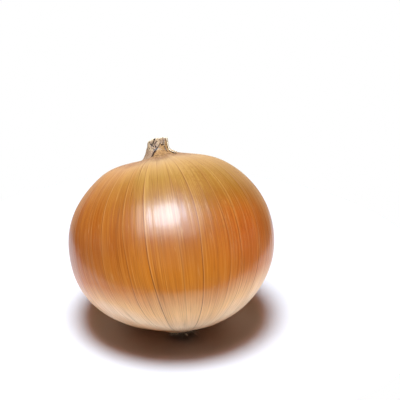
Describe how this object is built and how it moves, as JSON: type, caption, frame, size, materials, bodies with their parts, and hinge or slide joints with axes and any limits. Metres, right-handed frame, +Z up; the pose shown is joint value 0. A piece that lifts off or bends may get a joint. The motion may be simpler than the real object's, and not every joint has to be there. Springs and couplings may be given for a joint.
{
  "type": "onion",
  "caption": "Whole yellow onion in its dry papery skin, with a torn neck stub and dried roots, resting tilted on a small flat spot.",
  "frame": {"origin": "on the surface it rests on, under the middle of its box", "axes": "+Z up; -Y towards the pictured side; +X to the right as pictured; the neck leans back and left"},
  "size_m": [0.0846, 0.083, 0.0766],
  "materials": {
    "onion_skin": "satin",
    "dry_sheath": "matte",
    "dry_root": "matte"
  },
  "bodies": {
    "root": {"bulb": "onion_skin", "neck": "dry_sheath", "root_plate": "dry_root"}
  },
  "joints": []
}
